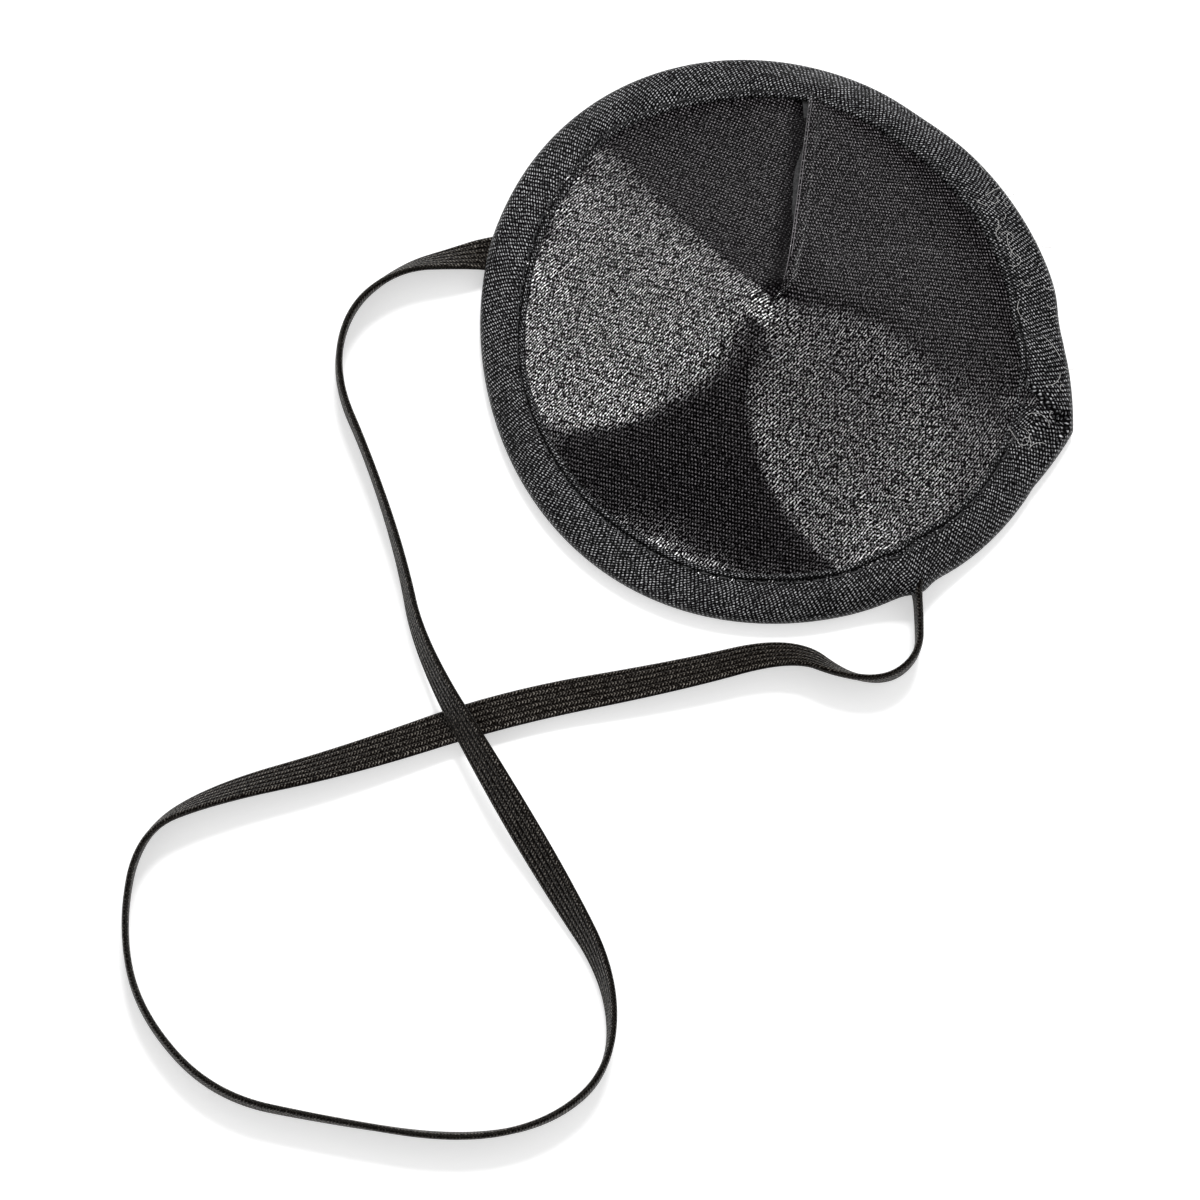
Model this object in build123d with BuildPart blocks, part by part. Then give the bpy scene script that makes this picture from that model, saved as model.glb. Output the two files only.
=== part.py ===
"""A sewn eye patch: a shallow satin cone with a bound rim and a loop of flat elastic.

Millimetres. The patch lies on its rim with the domed side up. The origin is the centre of the
rim on the surface that it rests on, +Z points out of the domed side and +Y towards the dart.
"""

import os
from math import cos, pi, radians, sin, sqrt, tan

from build123d import *

# Overall shape
rim_radius = 38.0  # over the binding
cone_slope = 27.5  # of the cone's side, in degrees from the table
apex_rounding = 8.0  # radius of the satin over the blunt apex

# Layers of the cone, from the outside in
satin_thickness = 0.4
foam_thickness = 1.4
lining_thickness = 0.4
layer_gap = 0.02  # between two layers that lie face to face

# Bias tape folded round the rim, its two ends lapped
tape_thickness = 0.5
tape_leg = 5.2  # each leg, up the slope from the middle of the rounded edge
edge_setback = 1.4  # from the middle of the rounded edge to the cone's cut edge
rest_width = 1.0  # flat ring that the patch lies on
join_azimuth = -18.0  # of the lapped corner, in degrees
join_span = 24.0  # either side of the corner
join_stand_out = 1.9  # of the corner beyond the rim
join_thickness = 1.4

# Dart, lapped from the binding to just short of the apex
dart_azimuth = 79.0  # of the folded edge
dart_lap_angle = 9.0
dart_lap_thickness = 0.5
dart_end_radius = 8.0
dart_seam_inset = 3.0  # from the folded edge to the seam, in degrees

# Sewing
thread_diameter = 0.24
stitch_length = 2.2
stitch_pitch = 2.8
stitch_margin = 1.1  # from the tape's inner edge to the binding seam
tack_diameter = 0.5
tack_spacing = 1.1
tack_count = 4

# Flat elastic
strap_width = 5.0
strap_thickness = 0.9
strap_stub = 4.0  # flat end outside the rim
strap_tail = 8.0  # flat end inside the rim
strap_lift = 0.05  # of a flat end above the table
strap_clearance = 0.1  # round a flat end, in the notch that the binding has for it
left_azimuth = 162.0  # where the elastic leaves the rim
right_azimuth = -60.0

# Free loop of the elastic between its two flat ends, as a tube as wide as the elastic
crossing_gap = 0.8
low = strap_width / 2
high = low + strap_width + crossing_gap
loop_points = [
    (-48.0, 9.5, low),
    (-54.8, 4.0, low),
    (-56.4, -5.5, low),
    (-51.8, -16.0, low),
    (-47.5, -29.0, low),
    (-45.0, -41.5, high),
    (-34.5, -60.0, high),
    (-27.5, -71.5, low),
    (-20.5, -83.5, low),
    (-20.5, -95.0, low),
    (-28.0, -102.5, low),
    (-41.0, -104.0, low),
    (-57.0, -102.5, low),
    (-70.5, -99.0, low),
    (-80.0, -88.0, low),
    (-82.5, -77.0, low),
    (-80.5, -65.0, low),
    (-71.5, -60.0, low),
    (-54.0, -55.5, low),
    (-34.0, -48.5, low),
    (-12.0, -44.5, low),
    (2.5, -40.8, low),
    (9.5, -44.8, low),
    (15.2, -45.2, low),
    (18.9, -41.8, low),
]

# What follows from these sizes
slope = radians(cone_slope)
half_shell = (satin_thickness + foam_thickness + lining_thickness) / 2 + layer_gap
half_slot = half_shell + layer_gap
nose_rounding = half_slot + tape_thickness
nose_height = sqrt(nose_rounding**2 - (rest_width / 2) ** 2)
nose_radius = rim_radius - nose_rounding
thread_sink = thread_diameter / 2 + layer_gap


def on_slope(along, out):
    """(radius, height) of a point: along the slope from the rounded edge, out of its middle."""
    radius = nose_radius - along * cos(slope) + out * sin(slope)
    height = nose_height + along * sin(slope) + out * cos(slope)
    return radius, height


def slope_plane(along, out, azimuth=0.0):
    """Plane square to the rim at an azimuth, with x up the slope and y out of the cone's side."""
    radius, height = on_slope(along, out)
    east, north = cos(radians(azimuth)), sin(radians(azimuth))
    uphill = (-cos(slope) * east, -cos(slope) * north, sin(slope))
    return Plane((radius * east, radius * north, height), x_dir=uphill, z_dir=(-north, east, 0))


edge_radius, edge_height = on_slope(edge_setback, half_shell)
apex_centre = edge_height + edge_radius * tan(slope) - apex_rounding / cos(slope)


def draw_layer(depth, thickness):
    """Outline of one layer, from its depth under the satin's face, from the cut edge to the axis."""
    ends = []
    for below in (depth, depth + thickness):
        bend = apex_rounding - below
        edge = on_slope(edge_setback, half_shell - below)
        Line(edge, (bend * sin(slope), apex_centre + bend * cos(slope)))
        CenterArc((0, apex_centre), bend, 90 - cone_slope, cone_slope)
        ends.append((edge, (0, apex_centre + bend)))
    Line(ends[0][0], ends[1][0])
    Line(ends[0][1], ends[1][1])


foam_depth = satin_thickness + layer_gap
lining_depth = foam_depth + foam_thickness + layer_gap

# Satin, with the lap of its dart; the dart's seam runs in a tunnel through the lap
lap_start = tape_leg + layer_gap
lap_end = (nose_radius - dart_end_radius) / cos(slope)
seam_azimuth = dart_azimuth - dart_seam_inset
seam_middle = (lap_start + lap_end) / 2
seam_out = half_shell + dart_lap_thickness / 2
tunnel_width = 2 * thread_sink

with BuildPart() as satin_panel:
    with BuildSketch(Plane.XZ):
        with BuildLine():
            draw_layer(0, satin_thickness)
        make_face()
    revolve(axis=Axis.Z)
    with BuildSketch(slope_plane(0, 0, dart_azimuth - dart_lap_angle)):
        with Locations((lap_start, half_shell - satin_thickness / 2)):
            Rectangle(
                lap_end - lap_start,
                satin_thickness / 2 + dart_lap_thickness,
                align=(Align.MIN, Align.MIN),
            )
    revolve(axis=Axis.Z, revolution_arc=dart_lap_angle)
    with Locations(slope_plane(seam_middle, seam_out, seam_azimuth)):
        Box(2 * lap_end, tunnel_width, tunnel_width, mode=Mode.SUBTRACT)
satin_panel.part.label = "satin_panel"

with BuildPart() as foam_interlining:
    with BuildSketch(Plane.XZ):
        with BuildLine():
            draw_layer(foam_depth, foam_thickness)
        make_face()
    revolve(axis=Axis.Z)
foam_interlining.part.label = "foam_interlining"

with BuildPart() as lining_panel:
    with BuildSketch(Plane.XZ):
        with BuildLine():
            draw_layer(lining_depth, lining_thickness)
        make_face()
    revolve(axis=Axis.Z)
lining_panel.part.label = "lining_panel"

# Dart seam: a row of stitches up the slope
dart_stitch_count = int((lap_end - lap_start) / stitch_pitch) - 1

with BuildPart() as dart_thread:
    with Locations(slope_plane(seam_middle, seam_out, seam_azimuth)):
        with GridLocations(stitch_pitch, 0, dart_stitch_count, 1):
            Cylinder(thread_diameter / 2, stitch_length, rotation=(0, 90, 0))
dart_thread.part.label = "dart_thread"

# Where the elastic leaves the rim, and the way each flat end points


def strap_exit(azimuth, next_point):
    """Plane on the table at the rim, with x along the elastic on its way out."""
    start = Vector(rim_radius * cos(radians(azimuth)), rim_radius * sin(radians(azimuth)), 0)
    return Plane(start, x_dir=Vector(next_point[0], next_point[1], 0) - start, z_dir=(0, 0, 1))


def along_strap(exit_plane, distance, height):
    """The same plane, this far out along the elastic and up."""
    return Plane(
        exit_plane.from_local_coords((distance, 0, height)),
        x_dir=exit_plane.x_dir,
        z_dir=exit_plane.z_dir,
    )


left_exit = strap_exit(left_azimuth, loop_points[0])
right_exit = strap_exit(right_azimuth, loop_points[-1])
tack_inset = rim_radius - nose_radius
tack_height = strap_thickness + tape_thickness


def tack_row(exit_plane, diameter, mode=Mode.ADD):
    """Threads of one bar tack, upright through the flat end and into the folded tape."""
    upright = (Align.CENTER, Align.CENTER, Align.MIN)
    with Locations(along_strap(exit_plane, -tack_inset, strap_lift)):
        with GridLocations(0, tack_spacing, 1, tack_count):
            Cylinder(diameter / 2, tack_height, align=upright, mode=mode)


tack_hole = tack_diameter + 2 * layer_gap
lying = (Align.MAX, Align.CENTER, Align.MIN)

# Bias tape: two legs and a rounded edge round the cone, flat where it rests
seam_along = tape_leg - stitch_margin
slot_end = edge_setback - layer_gap
notch_width = strap_width + 2 * strap_clearance
notch_height = strap_lift + strap_thickness + strap_clearance
notch_length = strap_stub + strap_tail + strap_width

with BuildPart() as edge_binding:
    with BuildSketch(slope_plane(0, 0)):
        with BuildLine():
            Polyline(
                (0, nose_rounding),
                (tape_leg, nose_rounding),
                (tape_leg, half_slot),
                (slot_end, half_slot),
                (slot_end, -half_slot),
                (tape_leg, -half_slot),
                (tape_leg, -nose_rounding),
                (0, -nose_rounding),
            )
            CenterArc((0, 0), nose_rounding, 90, 180)
        make_face()
        with Locations((seam_along, nose_rounding), (seam_along, -nose_rounding)):
            Rectangle(2 * thread_sink, 4 * thread_sink, mode=Mode.SUBTRACT)
    revolve(axis=Axis.Z)
    with BuildSketch(Plane.XY.offset(nose_height - join_thickness / 2)):
        with BuildLine():
            corners = []
            for turn, radius in (
                (join_span, nose_radius),
                (0, rim_radius + join_stand_out),
                (-join_span, nose_radius),
                (0, nose_radius),
            ):
                angle = radians(join_azimuth + turn)
                corners.append((radius * cos(angle), radius * sin(angle)))
            Polyline(corners, close=True)
        make_face()
    extrude(amount=join_thickness)
    split(bisect_by=Plane.XY, keep=Keep.TOP)
    with Locations(along_strap(left_exit, strap_stub, 0), along_strap(right_exit, strap_stub, 0)):
        Box(notch_length, notch_width, notch_height, align=lying, mode=Mode.SUBTRACT)
    tack_row(left_exit, tack_hole, Mode.SUBTRACT)
    tack_row(right_exit, tack_hole, Mode.SUBTRACT)
edge_binding.part.label = "edge_binding"

# Binding seam: needle thread on the front, bobbin thread on the back
thread_out = nose_rounding - thread_sink


def seam_stitches(out):
    """Ring of stitches in the tape's groove, at this distance out of the cone's middle."""
    radius, height = on_slope(seam_along, out)
    count = int(2 * pi * radius / stitch_pitch)
    with Locations((0, 0, height)):
        with PolarLocations(radius, count):
            Cylinder(thread_diameter / 2, stitch_length, rotation=(90, 0, 0))


with BuildPart() as binding_needle_thread:
    seam_stitches(thread_out)
binding_needle_thread.part.label = "binding_needle_thread"

with BuildPart() as binding_bobbin_thread:
    seam_stitches(-thread_out)
binding_bobbin_thread.part.label = "binding_bobbin_thread"


def strap_end(exit_plane):
    """Flat end of the elastic: in through the notch and under the rim, with its tack's holes."""
    with Locations(along_strap(exit_plane, strap_stub, strap_lift)):
        Box(strap_stub + strap_tail, strap_width, strap_thickness, align=lying)
    tack_row(exit_plane, tack_hole, Mode.SUBTRACT)


with BuildPart() as strap_end_left:
    strap_end(left_exit)
strap_end_left.part.label = "strap_end_left"

with BuildPart() as strap_end_right:
    strap_end(right_exit)
strap_end_right.part.label = "strap_end_right"

with BuildPart() as bar_tack_left:
    tack_row(left_exit, tack_diameter)
bar_tack_left.part.label = "bar_tack_left"

with BuildPart() as bar_tack_right:
    tack_row(right_exit, tack_diameter)
bar_tack_right.part.label = "bar_tack_right"

# Free loop: straight runs joined by the largest arcs that the runs allow
loop_start = left_exit.from_local_coords((strap_stub, 0, low))
loop_end = right_exit.from_local_coords((strap_stub, 0, low))
route = [loop_start, *(Vector(*point) for point in loop_points), loop_end]
runs = [after - before for before, after in zip(route, route[1:])]
radii = []
for run, next_run in zip(runs, runs[1:]):
    half_turn = radians(run.get_angle(next_run)) / 2
    radii.append(0.45 * min(run.length, next_run.length) / tan(half_turn))
print("radii of the loop:", [round(radius, 1) for radius in radii])

with BuildPart() as elastic_strap:
    with BuildLine() as loop_line:
        FilletPolyline(*route, radius=radii)
    with BuildSketch(Plane(loop_start, z_dir=runs[0])):
        Circle(strap_width / 2)
    sweep(path=loop_line.wire())
elastic_strap.part.label = "elastic_strap"
loop_length = loop_line.wire().length
expected_volume = pi * (strap_width / 2) ** 2 * loop_length
print(f"loop {loop_length:.1f} mm, volume {elastic_strap.part.volume:.0f} of {expected_volume:.0f} mm3")

os.makedirs("parts", exist_ok=True)
for piece in (
    satin_panel,
    foam_interlining,
    lining_panel,
    dart_thread,
    edge_binding,
    binding_needle_thread,
    binding_bobbin_thread,
    strap_end_left,
    strap_end_right,
    bar_tack_left,
    bar_tack_right,
    elastic_strap,
):
    export_step(piece.part, f"parts/{piece.part.label}.step")
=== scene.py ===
"""Looks of the sewn eye patch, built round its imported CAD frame.

Lengths are in millimetres until a mesh or an object is made, which is where MM turns them into
metres. Angles are in degrees where a name says so, and azimuths turn from +X towards +Y.
"""

import random
from math import cos, exp, pi, radians, sin, sqrt

import bpy
import numpy as np
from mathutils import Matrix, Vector


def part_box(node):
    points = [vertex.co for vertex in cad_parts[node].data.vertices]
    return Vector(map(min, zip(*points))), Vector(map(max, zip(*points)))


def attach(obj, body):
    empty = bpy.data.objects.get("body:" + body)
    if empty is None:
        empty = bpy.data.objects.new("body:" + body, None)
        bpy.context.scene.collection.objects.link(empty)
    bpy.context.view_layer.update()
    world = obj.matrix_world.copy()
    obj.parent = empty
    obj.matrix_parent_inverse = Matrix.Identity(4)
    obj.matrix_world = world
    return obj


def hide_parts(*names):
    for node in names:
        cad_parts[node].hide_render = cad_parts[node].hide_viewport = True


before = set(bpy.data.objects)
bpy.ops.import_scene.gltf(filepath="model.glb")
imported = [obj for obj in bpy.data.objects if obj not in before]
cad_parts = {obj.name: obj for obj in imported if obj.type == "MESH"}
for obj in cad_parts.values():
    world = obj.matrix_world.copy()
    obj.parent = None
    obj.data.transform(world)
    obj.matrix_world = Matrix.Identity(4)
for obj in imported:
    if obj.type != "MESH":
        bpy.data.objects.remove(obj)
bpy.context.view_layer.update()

MM = 0.001
GOLDEN = 2.399963  # turn, in radians, that keeps repeated details from lining up


def box_mm(node):
    """Lowest and highest corner of a CAD node, in millimetres."""
    low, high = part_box(node)
    return low / MM, high / MM


# Sizes that the frame gives
rim_radius = -box_mm("edge_binding")[0].x
apex_height = box_mm("satin_panel")[1].z
lining_depth = apex_height - box_mm("lining_panel")[1].z
foam_depth = apex_height - box_mm("foam_interlining")[1].z
strap_thickness = box_mm("strap_end_left")[1].z - box_mm("strap_end_left")[0].z

# The cone and its layers
slope = radians(27.5)
apex_rounding = 8.0
cloth_thickness = 0.3
lining_thickness = 0.4
half_shell = (lining_depth + lining_thickness) / 2
tape_thickness = 0.5
nose_rounding = half_shell + tape_thickness
nose_radius = rim_radius - nose_rounding
nose_height = nose_rounding - 0.08
edge_setback = 1.4
tape_leg = 5.2
stitch_margin = 1.1

# The straight side ends where the rounded apex starts
tangent_along = (nose_radius - (apex_rounding - half_shell) * sin(slope)) / cos(slope)
apex_along = tangent_along + apex_rounding * slope
apex_centre = apex_height - apex_rounding

# The elastic and the stitches of the binding
strap_width = 5.0
rib_count = 6
stitch_count = 84

# The weaves
float_across_degrees = 95.6  # across the satin's floats, from the dart's fold, in the flat cloth
satin_row_degrees = 71.0  # of the rows of tie-down points, from across the floats
satin_pitch = 0.35
twill_row_pitch = 0.54
twill_row_degrees = -18.5  # across the rows, from the tape's length towards its outer edge
twill_thread_pitch = 0.33
twill_thread_degrees = -119.0


# ---------------------------------------------------------------- camera, floor and light


def add_camera():
    """Camera at the photograph's angle, looking down on the patch and its elastic."""
    distance, elevation = 0.6, radians(78)
    target = Vector((-0.02197, -0.03421, 0))
    camera = bpy.data.objects.new("camera", bpy.data.cameras.new("camera"))
    camera.data.lens = 139.8
    camera.data.sensor_width = 36
    camera.data.clip_start = 0.01
    camera.data.clip_end = 20
    camera.location = target + distance * Vector((0, -cos(elevation), sin(elevation)))
    camera.rotation_euler = (pi / 2 - elevation, 0, 0)
    bpy.context.scene.collection.objects.link(camera)
    bpy.context.scene.camera = camera


add_camera()


# ---------------------------------------------------------------- meshes


def add_mesh(name, points, faces):
    """Smooth object from points in millimetres; it rides on the only body."""
    mesh = bpy.data.meshes.new(name)
    mesh.from_pydata((np.asarray(points) * MM).tolist(), [], faces)
    mesh.validate()
    mesh.shade_smooth()
    piece = bpy.data.objects.new(name, mesh)
    bpy.context.scene.collection.objects.link(piece)
    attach(piece, "root")
    return piece


def ring_faces(rings, sides, close_rings=False, close_sides=True):
    """Quads between rings of points, numbered ring by ring."""
    faces = []
    for i in range(rings if close_rings else rings - 1):
        after = (i + 1) % rings
        for j in range(sides if close_sides else sides - 1):
            beside = (j + 1) % sides
            faces.append((i * sides + j, after * sides + j, after * sides + beside, i * sides + beside))
    return faces


def set_uv(piece, uv):
    """UV map, in millimetres of cloth, from one pair of numbers for each vertex."""
    layer = piece.data.uv_layers.new(name="cloth")
    corners = np.empty(len(piece.data.loops), dtype=np.int32)
    piece.data.loops.foreach_get("vertex_index", corners)
    layer.data.foreach_set("uv", np.asarray(uv, dtype=np.float32)[corners].ravel())


def tube_points(line, radius, sides=6):
    """Rings round a line of points, closed to a point at both ends."""
    line = np.asarray(line, dtype=float)
    rings = []
    for i, centre in enumerate(line):
        ahead = line[min(i + 1, len(line) - 1)] - line[max(i - 1, 0)]
        ahead /= np.linalg.norm(ahead)
        side = np.cross(ahead, (0.3, 0.2, 0.93))
        side /= np.linalg.norm(side)
        up = np.cross(side, ahead)
        share = 0.25 if i in (0, len(line) - 1) else 1.0
        for k in range(sides):
            turn = 2 * pi * k / sides
            rings.append(centre + radius * share * (cos(turn) * side + sin(turn) * up))
    return rings


def add_tubes(name, lines, radius, sides=6):
    """One piece made of a closed tube along each line."""
    points, faces = [], []
    for line in lines:
        first = len(points)
        points += tube_points(line, radius, sides)
        faces += [tuple(first + k for k in face) for face in ring_faces(len(line), sides)]
        faces.append(tuple(first + k for k in range(sides)))
        last = first + (len(line) - 1) * sides
        faces.append(tuple(last + k for k in reversed(range(sides))))
    return add_mesh(name, points, faces)


# ---------------------------------------------------------------- the elastic

# Route from inside the rim on the left, round the loop, to inside the rim on the right:
# x, y, roll in degrees (0 lies flat, 90 stands on its edge) and height above its resting place
strap_route = [
    (-30.4, 12.7, 0, 0.1),
    (-36.1, 11.8, 10, 0.1),
    (-40.1, 11.0, 40, 0.1),
    (-48.0, 9.5, 72, 0),
    (-54.8, 4.0, 84, 0),
    (-56.4, -5.5, 86, 0),
    (-51.8, -16.0, 88, 0),
    (-47.5, -29.0, 82, 0),
    (-45.0, -41.5, 74, 1.0),
    (-34.5, -60.0, 44, 3.4),
    (-27.5, -71.5, 46, 0.6),
    (-20.5, -83.5, 74, 0),
    (-20.5, -95.0, 90, 0),
    (-28.0, -101.7, 88, 0),
    (-39.5, -103.9, 80, 0),
    (-56.0, -101.4, 88, 0),
    (-70.5, -98.4, 92, 0),
    (-80.0, -88.0, 94, 0),
    (-82.5, -77.0, 95, 0),
    (-80.5, -65.0, 94, 0),
    (-71.5, -60.0, 126, 0),
    (-54.0, -55.5, 148, 0),
    (-34.0, -48.5, 168, 0),
    (-12.0, -44.5, 150, 0),
    (2.5, -40.8, 138, 0),
    (9.5, -44.8, 104, 0),
    (15.2, -45.2, 92, 0),
    (18.9, -41.8, 90, 0),
    (18.9, -36.9, 92, 0),
    (18.7, -33.6, 92, 0),
    (18.4, -30.4, 120, 0.1),
    (18.0, -27.8, 168, 0.1),
    (17.6, -24.9, 180, 0.1),
]


def resting_height(roll_degrees):
    """Height of the elastic's middle when it lies on the floor at this roll."""
    roll = radians(roll_degrees)
    return strap_width / 2 * abs(sin(roll)) + strap_thickness / 2 * abs(cos(roll)) + 0.05


def read_nurbs(control_points):
    """Points along the smooth line that has these control points, in the units given."""
    curve = bpy.data.curves.new("route", "CURVE")
    curve.dimensions = "3D"
    spline = curve.splines.new("NURBS")
    spline.points.add(len(control_points) - 1)
    for point, place in zip(spline.points, control_points):
        point.co = (*place, 1)
    spline.order_u = 3
    spline.use_endpoint_u = True
    spline.resolution_u = 18
    line = bpy.data.objects.new("route", curve)
    bpy.context.scene.collection.objects.link(line)
    mesh = bpy.data.meshes.new_from_object(line)
    points = np.array([v.co[:] for v in mesh.vertices])
    bpy.data.objects.remove(line)
    bpy.data.curves.remove(curve)
    bpy.data.meshes.remove(mesh)
    return points


def braid_section():
    """Outline of the flat braid: across its width, and up and down from its middle."""
    steps = 8 * rib_count
    outline = []
    for side in (1, -1):
        for k in range(steps + 1):
            across = (k / steps - 0.5) * side
            rib = abs(cos(pi * rib_count * (across + 0.5) + pi / 2))
            edge = sqrt(max(0.0, 1 - abs(2 * across) ** 8))
            height = strap_thickness / 2 * (0.62 + 0.38 * rib**0.6) * edge
            if k < steps:
                outline.append((across * strap_width, side * height))
    return outline


def ribbon_rings(centres, rolls, section):
    """The section's points at each place along the elastic, their UVs, and the length so far."""
    points, uv, run = [], [], 0.0
    for i, centre in enumerate(centres):
        ahead = centres[min(i + 1, len(centres) - 1)] - centres[max(i - 1, 0)]
        ahead /= np.linalg.norm(ahead)
        level = np.cross((0, 0, 1), ahead)
        level /= np.linalg.norm(level)
        upright = np.cross(ahead, level)
        roll = radians(rolls[i])
        across = cos(roll) * level + sin(roll) * upright
        facing = np.cross(ahead, across)
        if i:
            run += np.linalg.norm(centre - centres[i - 1])
        for k, (width, height) in enumerate(section):
            points.append(centre + width * across + height * facing)
            uv.append((run, width + (2 * strap_width if k >= len(section) // 2 else 0)))
    return points, uv, run


def build_elastic():
    """The elastic from one sewn end to the other, one ribbed ribbon that turns as it goes."""
    route = [(x * MM, y * MM, (resting_height(roll) + lift) * MM) for x, y, roll, lift in strap_route]
    centres = read_nurbs(route) / MM
    rolls = read_nurbs([(roll, lift, 0) for _, _, roll, lift in strap_route])[:, 0]
    for centre, roll in zip(centres, rolls):
        centre[2] = max(centre[2], resting_height(roll))
    section = braid_section()
    points, uv, run = ribbon_rings(centres, rolls, section)
    sides = len(section)
    faces = ring_faces(len(centres), sides)
    faces.append(tuple(reversed(range(sides))))
    last = (len(centres) - 1) * sides
    faces.append(tuple(last + k for k in range(sides)))
    ribbon = add_mesh("elastic", points, faces)
    set_uv(ribbon, uv)
    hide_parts("elastic_strap", "strap_end_left", "strap_end_right")
    return ribbon


elastic = build_elastic()


# ---------------------------------------------------------------- shape of the patch

dart_degrees = 80.0
strap_exits = ((162.0, 1.05), (-60.5, 1.9))  # where the elastic lifts the rim, and how far
lift_width_degrees = 7.0
lift_fade = 9.0  # up the slope
join_degrees = -17.3
join_reach = 2.1


def wave(turn_degrees, times, phase_degrees):
    return np.cos(np.radians(times * (turn_degrees - phase_degrees)))


def smooth_step(value):
    value = np.clip(value, 0, 1)
    return value * value * (3 - 2 * value)


def turn_from(turn_degrees, centre):
    """Azimuth from another one, between -180 and 180 degrees."""
    return (np.asarray(turn_degrees) - centre + 180) % 360 - 180


def bump(turn_degrees, centre, width):
    """A smooth hump round the rim, 1 at its centre."""
    return np.exp(-((turn_from(turn_degrees, centre) / width) ** 2))


def rim_outline(turn_degrees):
    """Radius of the rim: not quite round, as a hand-fed seam leaves it."""
    turn = np.asarray(turn_degrees, dtype=float)
    out_of_round = 1.06 * wave(turn, 2, 137.5) + 0.52 * wave(turn, 3, -6.3) - 0.13 * wave(turn, 4, 11)
    pushed_out = 0.7 * bump(turn, strap_exits[1][0], 2.6)
    return rim_radius + out_of_round + pushed_out - 0.3 * bump(turn, 56, 8) - 0.5 * bump(turn, 3, 5)


def join_corner(turn_degrees):
    """How far the lapped corner of the tape stands out of the rim, as a share of its reach."""
    away = turn_from(turn_degrees, join_degrees)
    above = np.clip(1 - away / 15, 0, 1) ** 1.25 * (away >= 0)
    below = np.clip(1 + away / 13, 0, 1) ** 1.15 * (away < 0)
    return above + below


# Creases down the cone, left by folding it flat: the cloth between two of them is flatter.
# Azimuth halfway up the slope, its change for each millimetre outwards, and softness.
creases = (
    (dart_degrees, 0.0, 0.04),
    (130.0, -0.2, 0.015),
    (221.0, -1.4, 0.4),
    (265.0, 1.6, 0.25),
    (343.0, -2.2, 0.35),
    (dart_degrees + 360, 0.0, 0.04),
)
halfway_radius = rim_radius / 2
facet_depth = 0.068  # of a wide facet's middle below the round cone, as a share of the radius


def facet_sink(turn_degrees, radius):
    """How far the cloth lies inside the round cone, between two creases."""
    turn = (turn_degrees - dart_degrees) % 360 + dart_degrees
    fading = 1 - np.clip(radius / (rim_radius - 1.5), 0, 1) ** 8
    sink = np.zeros(np.shape(turn))
    for (start, lean, softness), (end, end_lean, end_softness) in zip(creases, creases[1:]):
        first = start + lean * (radius - halfway_radius)
        last = end + end_lean * (radius - halfway_radius)
        x = np.clip((2 * turn - first - last) / (last - first), -1, 1)
        soft = np.where(x < 0, softness, end_softness)
        near = (1 - np.abs(x)) ** 2 / (1 - np.abs(x) + soft)
        sink = sink + near * (2 - near) * np.minimum(1, (last - first) / 68)
    return facet_depth * radius * sink * fading


def cone_point(turn, along, out):
    """Places on the patch: azimuth in radians, distance up the slope, and out of its middle."""
    turn, along, out = np.broadcast_arrays(*(np.asarray(value, float) for value in (turn, along, out)))
    turn_degrees = np.degrees(turn)
    out = out - facet_sink(turn_degrees, np.clip(nose_radius - along * cos(slope), 0, None))
    side_radius = nose_radius - along * cos(slope) + out * sin(slope)
    side_height = nose_height + along * sin(slope) + out * cos(slope)
    tilt = np.clip(slope - (along - tangent_along) / apex_rounding, 0, slope)
    bend = apex_rounding - half_shell + out
    rounded = along > tangent_along
    radius = np.where(rounded, bend * np.sin(tilt), side_radius)
    height = np.where(rounded, apex_centre + bend * np.cos(tilt), side_height)
    stretch = 1 + (rim_outline(turn_degrees) / rim_radius - 1) * np.clip(radius / rim_radius, 0, 1)
    raised = sum(lift * bump(turn_degrees, place, lift_width_degrees) for place, lift in strap_exits)
    height = height + raised * np.exp(-np.clip(along, 0, None) / lift_fade)
    return np.stack([radius * stretch * np.cos(turn), radius * stretch * np.sin(turn), height], -1)


# ---------------------------------------------------------------- satin with its dart

lap_height = 0.65
lap_spread = 6.0  # over which the folded side sinks back to the cone
fold_rounding = 0.2
fold_return = 1.6
under_lap = 2.4
lap_dip, dip_width = 0.45, 1.8  # of the cloth beside the folded edge

# The satin turned under at the dart's fold: distance aside, and drop in roundings of the fold
tuck = ((-fold_return, -2.2), (-0.6, -2.2), (-0.15, -2.0), (0.0, -1.0), (-0.15, -0.15))


def fold_azimuth(radius):
    """Azimuth of the dart's folded edge, which runs a little to the right of the apex."""
    aside = 1.2 * (1 - np.exp(-radius / 2.5)) + 0.132 * radius
    return pi / 2 - np.arctan2(aside, radius)


def dart_taper(radius):
    """The lap's height, as a share, from nothing at the apex to all of it at the rim."""
    return smooth_step((radius - 1.0) / 9.0)


def satin_ripple(turn, along):
    """Small uneven tension in the satin: puckers by the binding and at the dart's point."""
    near_rim = np.exp(-np.clip(along - tape_leg, 0, None) / 2.2)
    puckers = 0.05 * np.sin(37 * turn + 2.0 * np.sin(5 * turn)) * near_rim
    slack = 0.06 * np.sin(3 * turn + 0.16 * along) * np.sin(0.19 * along + 1.3)
    return puckers + slack


def turned(uv, turn_degrees):
    """UV pairs turned about the apex."""
    uv = np.asarray(uv)
    c, s = cos(radians(turn_degrees)), sin(radians(turn_degrees))
    return np.stack([c * uv[:, 0] + s * uv[:, 1], -s * uv[:, 0] + c * uv[:, 1]], -1)


def apply_modifiers(piece):
    depsgraph = bpy.context.evaluated_depsgraph_get()
    mesh = bpy.data.meshes.new_from_object(piece.evaluated_get(depsgraph))
    piece.modifiers.clear()
    piece.data = mesh


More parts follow.
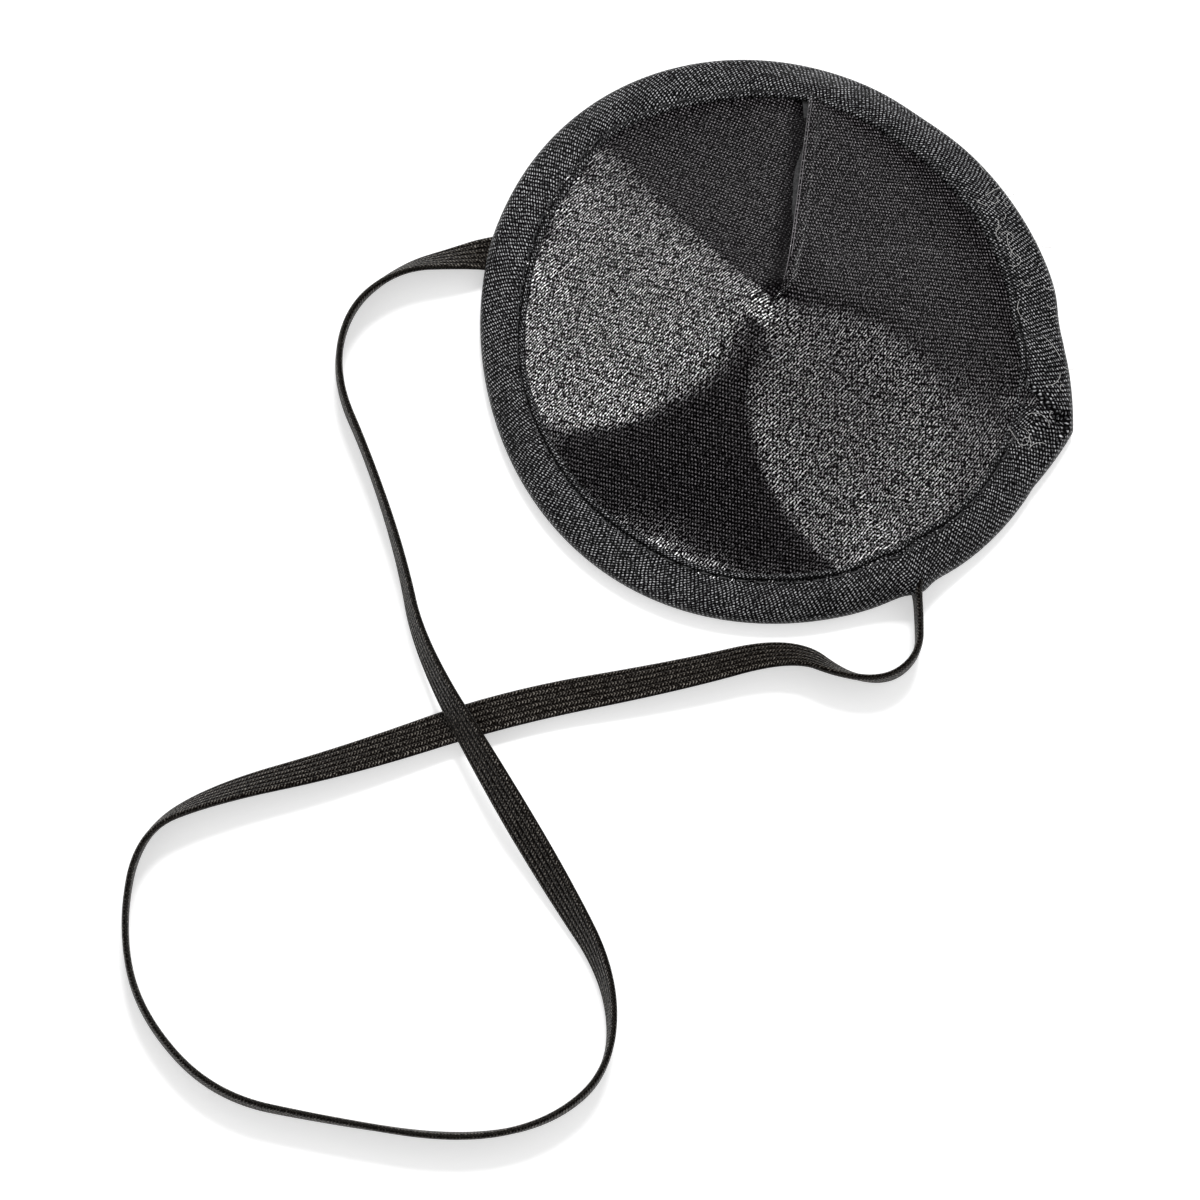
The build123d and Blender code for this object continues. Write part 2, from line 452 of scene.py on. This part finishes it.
def thicken(piece, thickness):
    """Gives a sheet its thickness, inwards from its outer face."""
    solid = piece.modifiers.new("thickness", "SOLIDIFY")
    solid.thickness = thickness * MM
    solid.offset = -1
    apply_modifiers(piece)


def tucked_cloth(radius, fold, taper, aside, drop):
    """Azimuth, distance out and turn within the cloth, for a place tucked in at the fold."""
    turn = fold + aside * min(1, radius / 4) / radius
    out = half_shell + taper * (lap_height + drop * fold_rounding)
    return turn, out, aside / radius * cos(slope)


def panel_cloth(radius, fold, taper, share):
    """The same three numbers, for a share of the way round from the fold to under the lap."""
    travel = share * (2 * pi + under_lap / max(radius, 6.0))
    rise = lap_height * exp(-travel * radius / lap_spread)
    to_fold = abs(2 * pi - travel) * radius
    dip = lap_dip * exp(-((to_fold / dip_width) ** 2)) if share > 0.5 else 0.0
    return fold - travel, half_shell + taper * (rise - dip), -travel * cos(slope)


def build_satin():
    """The satin, one sheet cut flat: clockwise from the dart's folded edge to under its lap."""
    around, rows = 420, 96
    along = edge_setback + (apex_along - 0.02 - edge_setback) * np.linspace(0, 1, rows)
    plain_radius = np.hypot(*cone_point(0, along, half_shell)[:, :2].T)
    folds, tapers = fold_azimuth(plain_radius), dart_taper(plain_radius)
    points, uv = [], []
    for here, radius, fold, taper in zip(along, np.maximum(plain_radius, 0.05), folds, tapers):
        row = [tucked_cloth(radius, fold, taper, *place) for place in tuck]
        row += [panel_cloth(radius, fold, taper, k / around) for k in range(around + 1)]
        for turn, out, cloth_turn in row:
            points.append(cone_point(turn, here, out + satin_ripple(turn, here)))
            slant = apex_along - here
            uv.append((slant * cos(cloth_turn), slant * sin(cloth_turn)))
    faces = ring_faces(rows, len(tuck) + around + 1, close_sides=False)
    satin = add_mesh("satin", points, faces)
    set_uv(satin, turned(uv, float_across_degrees))
    thicken(satin, cloth_thickness)
    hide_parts("satin_panel")
    return satin


satin = build_satin()


# ---------------------------------------------------------------- foam and lining


def build_layer(name, depth, thickness, first_along, rows=44, around=240):
    """A closed layer of the cone, from its depth under the satin's face."""
    turns = np.linspace(0, 2 * pi, around, endpoint=False)
    along = np.linspace(first_along, apex_along - 0.02, rows)
    points, uv = [], []
    for out, order in ((half_shell - depth, along), (half_shell - depth - thickness, along[::-1])):
        for a in order:
            points += list(cone_point(turns, a, out))
            slant = apex_along - a
            uv += [(slant * cos(t), slant * sin(t)) for t in turns * cos(slope)]
    faces = ring_faces(2 * rows, around, close_rings=True)
    layer = add_mesh(name, points, faces)
    set_uv(layer, uv)
    return layer


foam_thickness = lining_depth - foam_depth - 0.04
foam = build_layer("foam", foam_depth + 0.02, foam_thickness, edge_setback)
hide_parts("foam_interlining")

lining = build_layer("lining", lining_depth, lining_thickness, edge_setback)
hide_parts("lining_panel")


# ---------------------------------------------------------------- binding

hem_rounding = 0.42  # over which the tape's inner edge rounds down to the satin
crown_height = 0.32  # of the tape between its seam and the rim
corner_fade = 4.2  # up the slope, over which the lapped corner stops standing out
corner_pinch = 0.35  # of the nose's thickness that the lapped corner loses
lap_drop = 0.95  # of the tape's under end below the upper one
pocket_depth, pocket_width_degrees = 1.6, 1.1


def hem_lift(turn_degrees):
    """How far the tape's folded inner edge stands off the satin, 0.5 mm on average."""
    return 0.5 + 0.2 * wave(turn_degrees, 1, 60) + 0.2 * wave(turn_degrees, 2, 40)


def stitch_pucker(turn):
    """Depth of the sewn groove, deeper at each needle hole."""
    return 0.75 + 0.25 * np.cos(stitch_count * turn)


def lap_sink(turn_degrees, from_edge, share):
    """How far the under end of the tape lies below the upper one, which ends in a slanting fold.

    The share goes from 0 at the tape's inner edge to 1 at the rim, where the fold leaves a pocket.
    """
    lap = turn_from(turn_degrees, join_degrees)
    fold_line = -9.0 - 1.7 * from_edge
    lapped = smooth_step((turn_from(turn_degrees, 0) - fold_line) / 0.6)
    fade = np.where(lap > -12, np.exp(-np.clip(-lap - 2, 0, None) / 5), 0) * (lap < 40)
    pocket = bump(turn_degrees, join_degrees + 1.2, pocket_width_degrees)
    pocket = pocket_depth * pocket * smooth_step((share - 0.8) / 0.1)
    return lap_drop * (1 - lapped) * fade * smooth_step(share * 5) + pocket


def sewn_groove(turns, from_edge, depth, width):
    """The groove that the seam pulls into the tape, beside its folded edge."""
    return depth * stitch_pucker(turns) * np.exp(-(((from_edge - stitch_margin) / width) ** 2))


def front_leg(turns, leg, share):
    """Distances up the slope and out of its middle, from the tape's inner edge to the rim."""
    turn_degrees = np.degrees(turns)
    from_edge = leg * share
    hem = hem_lift(turn_degrees)
    hem_round = np.sqrt(np.clip(1 - (1 - np.clip(from_edge / hem_rounding, 0, 1)) ** 2, 0, 1))
    face = hem + (nose_rounding - half_shell - hem) * smooth_step((share - 0.15) / 0.85)
    crown = crown_height * np.sin(pi * np.clip((from_edge - stitch_margin) / (leg - stitch_margin), 0, 1))
    out = half_shell + face * hem_round - sewn_groove(turns, from_edge, 0.42, 0.3) + crown
    return leg * (1 - share), out - lap_sink(turn_degrees, from_edge, share)


def rounded_nose(turns, share):
    """The same two distances, half a turn about the middle of the rim, pinched at the corner."""
    angle = pi * share
    pinch = 1 - corner_pinch * join_corner(np.degrees(turns)) * sin(angle)
    return np.full(len(turns), -nose_rounding * sin(angle)), nose_rounding * cos(angle) * pinch


def back_leg(turns, share):
    """The same two distances, from the rim back up the underside of the layers."""
    groove = sewn_groove(turns, tape_leg * (1 - share), 0.3, 0.35)
    return np.full(len(turns), tape_leg * share), groove - nose_rounding


def tape_outside(turns, leg):
    """Rings of points over the tape's outer face, with its lapped corner standing out."""
    stations = [front_leg(turns, leg, share) for share in np.linspace(0, 1, 34)]
    stations += [rounded_nose(turns, share) for share in np.linspace(0, 1, 15)[1:-1]]
    stations += [back_leg(turns, share) for share in np.linspace(0, 1, 14)]
    corner = join_corner(np.degrees(turns)) * join_reach
    rings = []
    for along, out in stations:
        points = cone_point(turns, along, out)
        reach = smooth_step(1 - np.clip(along, 0, None) / corner_fade) * corner
        points[:, 0] += reach * np.cos(turns)
        points[:, 1] += reach * np.sin(turns)
        rings.append(points)
    return rings


def tape_inside(turns, leg):
    """Rings of points back along the tape's inner face, against the layers that it binds."""
    under = [edge_setback + (tape_leg - edge_setback) * share for share in np.linspace(1, 0, 6)]
    over = [edge_setback + (leg - 0.2 - edge_setback) * share for share in np.linspace(0, 1, 6)]
    rings = [cone_point(turns, along, -half_shell - 0.01) for along in under]
    return rings + [cone_point(turns, along, half_shell + 0.01) for along in over]


def build_binding():
    """The bias tape folded round the rim: its front leg, rounded nose and back leg."""
    around = 900
    turns = np.linspace(0, 2 * pi, around, endpoint=False)
    leg = tape_leg + 0.16 * np.sin(5 * turns + 1.0) + 0.12 * np.sin(11 * turns)
    rings = tape_outside(turns, leg) + tape_inside(turns, leg)
    steps = [0.0] + [np.linalg.norm(b - a, axis=1).mean() for a, b in zip(rings, rings[1:])]
    across = np.cumsum(steps)
    points = np.concatenate(rings)
    points[:, 2] = np.maximum(points[:, 2], 0.02)
    uv = np.concatenate([np.stack([turns * rim_radius, np.full(around, a)], -1) for a in across])
    binding = add_mesh("binding", points, ring_faces(len(rings), around, close_rings=True))
    set_uv(binding, uv)
    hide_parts("edge_binding")
    return binding


binding = build_binding()


# ---------------------------------------------------------------- sewing

stitch_share = 0.76  # of the pitch that a stitch covers; the rest is its needle hole
dart_stitches, dart_pitch, dart_stitch_length = 8, 2.8, 0.8  # the length as a share of the pitch
tack_throws, tack_half_width, tack_length = 22, 0.75, 4.4
tack_legs, tack_leg_height = 5, 1.3


def seam_stitches(out, sunk):
    """Stitches of the binding seam: each rises from one needle hole and dips into the next."""
    lines = []
    for k in range(stitch_count):
        start = 2 * pi * (k + (1 - stitch_share) / 2) / stitch_count
        reach = 2 * pi * stitch_share / stitch_count
        turns = start + reach * np.linspace(0, 1, 9)
        depth = sunk * np.abs(np.linspace(-1, 1, 9)) ** 3
        lines.append(cone_point(turns, tape_leg - stitch_margin, out - np.sign(out) * depth))
    return lines


def build_seam_threads():
    """Needle thread on the front of the binding and bobbin thread on its back."""
    front_out = half_shell + 0.3
    needle = add_tubes("binding_needle_stitches", seam_stitches(front_out, 0.4), 0.13)
    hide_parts("binding_needle_thread")
    bobbin = add_tubes("binding_bobbin_stitches", seam_stitches(-nose_rounding + 0.22, 0.3), 0.12)
    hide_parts("binding_bobbin_thread")
    return needle, bobbin


def build_dart_thread():
    """The dart's own seam, under its lap."""
    lines = []
    for k in range(dart_stitches):
        along = tape_leg + 2.0 + dart_pitch * (k + np.linspace(0, dart_stitch_length, 7))
        radius = nose_radius - along * cos(slope)
        turns = fold_azimuth(radius) - 2.2 / radius
        lines.append(cone_point(turns, along, half_shell - 0.05 - cloth_thickness))
    stitches = add_tubes("dart_stitches", lines, 0.11)
    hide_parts("dart_thread")
    return stitches


def build_bar_tack(name, node):
    """Close zigzag that holds one end of the elastic to the back of the rim."""
    low, high = box_mm(node)
    middle = (low + high) / 2
    outward = Vector((middle.x, middle.y, 0)).normalized()
    across = Vector((-outward.y, outward.x, 0))
    line, steps = [], tack_throws * 4
    for k in range(steps + 1):
        swing = tack_half_width * sin(pi * k / 4 + 0.4) + 0.05 * sin(GOLDEN * k)
        drift = (k / steps - 0.5) * tack_length
        place = middle + outward * swing + across * drift
        line.append((place.x, place.y, 0.14 + 0.05 * abs(cos(pi * k / 4))))
    legs = []
    for k in range(tack_legs):
        foot = middle + across * (k - (tack_legs - 1) / 2)
        legs.append([(foot.x, foot.y, 0.15 + tack_leg_height * step / 6) for step in range(7)])
    tack = add_tubes(name, [line, *legs], 0.13)
    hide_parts(node)
    return tack


needle_thread, bobbin_thread = build_seam_threads()
dart_thread = build_dart_thread()
tacks = [build_bar_tack("tack_left", "bar_tack_left"), build_bar_tack("tack_right", "bar_tack_right")]


# ---------------------------------------------------------------- lint


lint_flat_radius = 36.0  # of the rim, when the cloth is laid out flat to draw a fibre on it

# Fibres on the binding and on the satin: how many, then the ranges of their azimuth in degrees,
# distance up the slope, length, heading in degrees and curl in radians
lint_patches = (
    (30, (-26, 40), (-0.6, 4.0), (1.2, 5.5), (0, 360), (-5, 5)),
    (14, (-60, 75), (7, 28), (0.4, 1.3), (0, 360), (-2, 2)),
)


def lint_fibre(dice, turn_degrees, along, length, heading_degrees, curl):
    """One fine fibre lying on the binding or the satin."""
    place = np.array([turn_degrees * pi / 180 * lint_flat_radius, along])
    heading = radians(heading_degrees)
    surface = nose_rounding + 0.42 if along < tape_leg - 1.4 else half_shell + 0.3
    line, steps = [], 12
    for k in range(steps):
        lift = 0.12 * sin(pi * k / (steps - 1)) + 0.04 * dice.random()
        line.append(cone_point(place[0] / lint_flat_radius, place[1], surface + lift))
        heading += curl * (0.5 + dice.random()) / steps
        place = place + length / steps * np.array([cos(heading), sin(heading)])
    return line


def build_lint():
    """Pale lint, mostly on the right-hand side of the binding."""
    dice = random.Random(7)
    lines = []
    for count, *ranges in lint_patches:
        for _ in range(count):
            lines.append(lint_fibre(dice, *[dice.uniform(low, high) for low, high in ranges]))
    return add_tubes("lint", lines, 0.036, sides=4)


lint = build_lint()


# ---------------------------------------------------------------- materials


class Nodes:
    """A material's node tree, with short calls for the sums that its patterns need."""

    def __init__(self, name):
        self.material = bpy.data.materials.new(name)
        self.material.use_nodes = True
        self.tree = self.material.node_tree
        self.shader = self.tree.nodes["Principled BSDF"]

    def add(self, kind, **settings):
        node = self.tree.nodes.new(kind)
        for key, value in settings.items():
            setattr(node, key, value)
        return node

    def link(self, source, target):
        if hasattr(source, "is_output"):
            self.tree.links.new(source, target)
        else:
            target.default_value = source

    def sum(self, operation, a, b=0.0, c=0.0):
        node = self.add("ShaderNodeMath", operation=operation)
        for value, socket in zip((a, b, c), node.inputs):
            self.link(value, socket)
        return node.outputs[0]

    def cloth(self):
        """The cloth's own coordinates, in millimetres."""
        uv = self.add("ShaderNodeUVMap", uv_map="cloth")
        split = self.add("ShaderNodeSeparateXYZ")
        self.link(uv.outputs[0], split.inputs[0])
        return split.outputs[0], split.outputs[1]

    def turned(self, u, v, turn_degrees):
        """Coordinates along and across a direction in the cloth."""
        c, s = cos(radians(turn_degrees)), sin(radians(turn_degrees))
        along = self.sum("ADD", self.sum("MULTIPLY", u, c), self.sum("MULTIPLY", v, s))
        across = self.sum("SUBTRACT", self.sum("MULTIPLY", v, c), self.sum("MULTIPLY", u, s))
        return along, across

    def ridge(self, distance, pitch):
        """0 to 1 and back once in each pitch."""
        turns = self.sum("MULTIPLY", distance, 2 * pi / pitch)
        return self.sum("MULTIPLY_ADD", self.sum("SINE", turns), 0.5, 0.5)

    def noise(self, u, v, scale, detail=2.0):
        place = self.add("ShaderNodeCombineXYZ")
        self.link(u, place.inputs[0])
        self.link(v, place.inputs[1])
        node = self.add("ShaderNodeTexNoise")
        self.link(place.outputs[0], node.inputs["Vector"])
        node.inputs["Scale"].default_value = scale
        node.inputs["Detail"].default_value = detail
        return node.outputs[0]

    def product(self, first, *others):
        for other in others:
            first = self.sum("MULTIPLY", first, other)
        return first

    def stretch(self, value, given, wanted):
        """Moves a number from one range to another, and holds it there."""
        node = self.add("ShaderNodeMapRange")
        self.link(value, node.inputs[0])
        for socket, limit in zip(node.inputs[1:5], (*given, *wanted)):
            socket.default_value = limit
        return node.outputs[0]

    def colour(self, share, low, high):
        """Between two colours."""
        node = self.add("ShaderNodeMix", data_type="RGBA")
        self.link(share, node.inputs[0])
        node.inputs[6].default_value = (*low, 1)
        node.inputs[7].default_value = (*high, 1)
        return node.outputs[2]

    def relief(self, height, depth):
        """Bump of this depth in millimetres."""
        node = self.add("ShaderNodeBump")
        self.link(height, node.inputs["Height"])
        node.inputs["Distance"].default_value = depth * MM
        self.link(node.outputs[0], self.shader.inputs["Normal"])

    def set(self, **values):
        """Sets the shader's sockets, named with underscores for spaces."""
        for key, value in values.items():
            self.link(value, self.shader.inputs[key.replace("_", " ")])


def dart_painted_shadow_and_highlight(m, u, v):
    """The painted shadow in a dark band beside the dart, and the painted highlight along its folded edge,
    as shares.
    """
    along, across = m.turned(u, v, -float_across_degrees)
    # painted highlight: a thin lighter line along the dart's folded edge
    edge = m.stretch(m.sum("ABSOLUTE", across), (0.02, 0.1), (1, 0))
    edge = m.product(edge, m.stretch(along, (2.5, 6.0), (0, 1)))
    along, across = m.turned(u, v, 360 * (1 - cos(slope)) - float_across_degrees)
    # painted shadow: darker beside the folded edge, where the lap shades the cloth
    painted_fold_shadow = m.stretch(m.sum("ABSOLUTE", across), (1.0, 2.8), (0.2, 1))
    elsewhere = m.stretch(along, (-2.0, 3.0), (1, 0))
    return m.sum("MAXIMUM", painted_fold_shadow, elsewhere), edge


def satin_material():
    """Black satin: glossy floats one way of the cloth, and a lattice of tiny tie-down points."""
    m = Nodes("satin")
    u, v = m.cloth()
    wander = m.sum("MULTIPLY", m.noise(u, v, 0.35), 0.6)
    row, crossing = m.turned(u, v, satin_row_degrees)
    crossing = m.sum("ADD", crossing, wander)
    line = m.ridge(crossing, satin_pitch)
    one_way = m.sum("SUBTRACT", m.sum("MULTIPLY", crossing, 0.637), m.sum("MULTIPLY", row, 0.556))
    other_way = m.sum("SUBTRACT", crossing, one_way)
    points = m.product(m.ridge(one_way, satin_pitch), m.ridge(other_way, satin_pitch))
    dashes = m.noise(m.sum("MULTIPLY", row, 1.7), m.sum("MULTIPLY", crossing, 3.4), 1.0, 1.0)
    specks = m.stretch(m.noise(u, v, 4.0, 1.0), (0.4, 0.68), (0.04, 2.1))
    # painted shadow beside the dart's fold, and painted highlight along its folded edge
    painted_fold_shadow, edge = dart_painted_shadow_and_highlight(m, u, v)
    streaks = m.product(m.sum("POWER", line, 3.6), m.stretch(dashes, (0.43, 0.6), (0.0, 1)), specks)
    streaks = m.product(streaks, painted_fold_shadow)
    dots = m.product(m.sum("POWER", points, 2.8), specks, painted_fold_shadow)
    # the fold's painted highlight is added into the base colour here
    fleck = m.sum("ADD", m.sum("MULTIPLY", streaks, 0.1), m.sum("ADD", dots, edge))
    m.set(
        Base_Color=m.colour(fleck, (0.001, 0.0007, 0.001), (0.3, 0.28, 0.295)),
        Specular_Tint=m.colour(streaks, (0.01, 0.01, 0.01), (16.0, 16.0, 16.0)),
        Roughness=0.334,
        Anisotropic=1.0,
        Specular_IOR_Level=0.5,
    )
    tangent = m.add("ShaderNodeTangent", direction_type="UV_MAP", uv_map="cloth")
    m.link(tangent.outputs[0], m.shader.inputs["Tangent"])
    return m.material


def woven_material(name, low, high, roughness, depth, seam=None):
    """Twilled cloth: a lattice of thread tops, in slanting rows across the cloth's length; where seam is
    given, a line of painted shade darkens the cloth along the sewn groove there.
    """
    m = Nodes(name)
    u, v = m.cloth()
    wander = m.sum("MULTIPLY", m.noise(u, v, 0.4), 0.7)
    rows = m.sum("ADD", m.turned(u, v, twill_row_degrees)[0], wander)
    threads = m.sum("ADD", m.turned(u, v, twill_thread_degrees)[0], wander)
    thread_tops = m.sum("POWER", m.ridge(threads, twill_thread_pitch), 1.5)
    tops = m.product(m.ridge(rows, twill_row_pitch), thread_tops)
    fuzz = m.noise(u, v, 3.4, 1.0)
    worn = m.stretch(m.noise(u, v, 0.25), (0.3, 0.7), (0.7, 1.3))
    shade = m.product(m.sum("POWER", tops, 1.5), m.stretch(fuzz, (0.42, 0.68), (0.05, 1.9)), worn)
    # painted shade: darker along the groove that the seam pulls in, at this distance across the cloth
    if seam:
        from_painted_groove_shade = m.sum("ABSOLUTE", m.sum("SUBTRACT", v, seam))
        shade = m.product(shade, m.stretch(from_painted_groove_shade, (0.12, 0.36), (0.1, 1)))
    m.set(
        Base_Color=m.colour(shade, low, high),
        Specular_Tint=m.colour(shade, (0.02, 0.02, 0.02), (2.0, 2.0, 2.0)),
        Roughness=roughness,
        Specular_IOR_Level=0.5,
    )
    m.relief(tops, depth)
    return m.material


def elastic_material():
    """Braided elastic: slanting yarns on each rib, with painted shade darkening the grooves between ribs.
    """
    m = Nodes("elastic")
    u, v = m.cloth()
    place = m.sum("MULTIPLY", v, 2 * pi * rib_count / strap_width)
    slant = m.sum("MULTIPLY", m.sum("COSINE", place), 0.14)
    yarns = m.ridge(m.sum("ADD", u, slant), 0.42)
    # painted shade: darker in the grooves between the ribs, where the braid's geometry has them
    crown = m.sum("MULTIPLY_ADD", m.sum("COSINE", place), -0.45, 0.55)
    fuzz = m.noise(u, v, 3.8, 1.0)
    shade = m.product(m.sum("POWER", yarns, 2.0), crown, m.stretch(fuzz, (0.42, 0.72), (0.02, 1.6)))
    m.set(
        Base_Color=m.colour(shade, (0.002, 0.0012, 0.0008), (0.18, 0.16, 0.135)),
        Specular_Tint=m.colour(shade, (0.02, 0.02, 0.02), (2.0, 1.9, 1.8)),
        Roughness=m.stretch(fuzz, (0.3, 0.7), (0.6, 0.4)),
        Specular_IOR_Level=0.5,
    )
    m.relief(yarns, 0.06)
    return m.material


def thread_material(name, colour, pale):
    """Twisted sewing thread or lint."""
    m = Nodes(name)
    place = m.add("ShaderNodeTexCoord")
    fibres = m.add("ShaderNodeTexNoise")
    m.link(place.outputs["Object"], fibres.inputs["Vector"])
    fibres.inputs["Scale"].default_value = 4000
    m.set(Base_Color=m.colour(fibres.outputs[0], colour, pale), Roughness=0.5, Specular_IOR_Level=0.4)
    return m.material


def foam_material():
    """Open-celled black foam."""
    m = Nodes("foam")
    place = m.add("ShaderNodeTexCoord")
    cells = m.add("ShaderNodeTexVoronoi")
    m.link(place.outputs["Object"], cells.inputs["Vector"])
    cells.inputs["Scale"].default_value = 1800
    m.set(
        Base_Color=m.colour(cells.outputs["Distance"], (0.008, 0.008, 0.009), (0.04, 0.04, 0.042)),
        Roughness=0.95,
    )
    m.relief(cells.outputs["Distance"], 0.2)
    return m.material


def dress(piece, material):
    piece.data.materials.clear()
    piece.data.materials.append(material)


lining_cloth = woven_material("lining", (0.003, 0.003, 0.004), (0.16, 0.16, 0.165), 0.85, 0.04)
# the tape gets painted shade along its sewn groove
tape_cloth = woven_material(
    "bias_tape", (0.001, 0.001, 0.0012), (0.56, 0.56, 0.58), 0.55, 0.04, seam=stitch_margin
)
thread = thread_material("thread", (0.006, 0.006, 0.007), (0.03, 0.03, 0.032))
dress(satin, satin_material())
dress(foam, foam_material())
dress(lining, lining_cloth)
dress(binding, tape_cloth)
dress(elastic, elastic_material())
for piece in (needle_thread, bobbin_thread, dart_thread, *tacks):
    dress(piece, thread)
dress(lint, thread_material("lint", (0.4, 0.39, 0.385), (0.7, 0.69, 0.67)))


# ---------------------------------------------------------------- studio


def add_floor():
    """Plain pale floor that glows a little, like a light table, so that its shadows are faint."""
    half, below = 3000.0, 0.02
    corners = [(x * half, y * half, -below) for x, y in ((-1, -1), (1, -1), (1, 1), (-1, 1))]
    mesh = bpy.data.meshes.new("floor")
    mesh.from_pydata((np.array(corners) * MM).tolist(), [], [(0, 1, 2, 3)])
    floor = bpy.data.objects.new("floor", mesh)
    bpy.context.scene.collection.objects.link(floor)
    m = Nodes("floor")
    m.set(Base_Color=(0.85, 0.85, 0.85, 1), Roughness=0.9, Specular_IOR_Level=0.1)
    m.set(Emission_Color=(1, 1, 1, 1), Emission_Strength=0.45)
    floor.data.materials.append(m.material)


light_height = 2.0


def add_soft_box(name, lean, spread, brightness):
    """Soft box over the table, facing straight down.

    Its lean from straight overhead and its sides are shares of its height, and its brightness is
    that of a white floor lit by it alone.
    """
    light = bpy.data.lights.new(name, "AREA")
    light.shape = "RECTANGLE"
    light.size, light.size_y = spread[0] * light_height, spread[1] * light_height
    distance_squared = 1 + lean[0] ** 2 + lean[1] ** 2
    light.energy = brightness * pi**2 * light_height**2 * distance_squared**2
    box = bpy.data.objects.new(name, light)
    box.location = (lean[0] * light_height, lean[1] * light_height, light_height)
    bpy.context.scene.collection.objects.link(box)
    return box


def add_world(strength):
    world = bpy.data.worlds.new("studio")
    world.use_nodes = True
    background = world.node_tree.nodes["Background"]
    background.inputs["Color"].default_value = (1, 1, 1, 1)
    background.inputs["Strength"].default_value = strength
    world.cycles_visibility.glossy = False
    bpy.context.scene.world = world


add_floor()
# The long soft box on the left gives the satin its two bright sectors
shine = add_soft_box("soft_box", (-0.429, -0.044), (0.858, 0.936), 1.8)
shine.rotation_euler.z = -0.466
shine.visible_diffuse = False
# The floor and the cloth's own colour are lit from overhead, and a little from the top
overhead = add_soft_box("overhead", (0.0, 0.0), (2.6, 2.6), 1.5)
overhead.visible_glossy = False
key = add_soft_box("key", (0.1, 0.8), (0.3, 0.3), 0.5)
key.visible_glossy = False
add_world(0.24)
bpy.context.scene.view_settings.view_transform = "Standard"
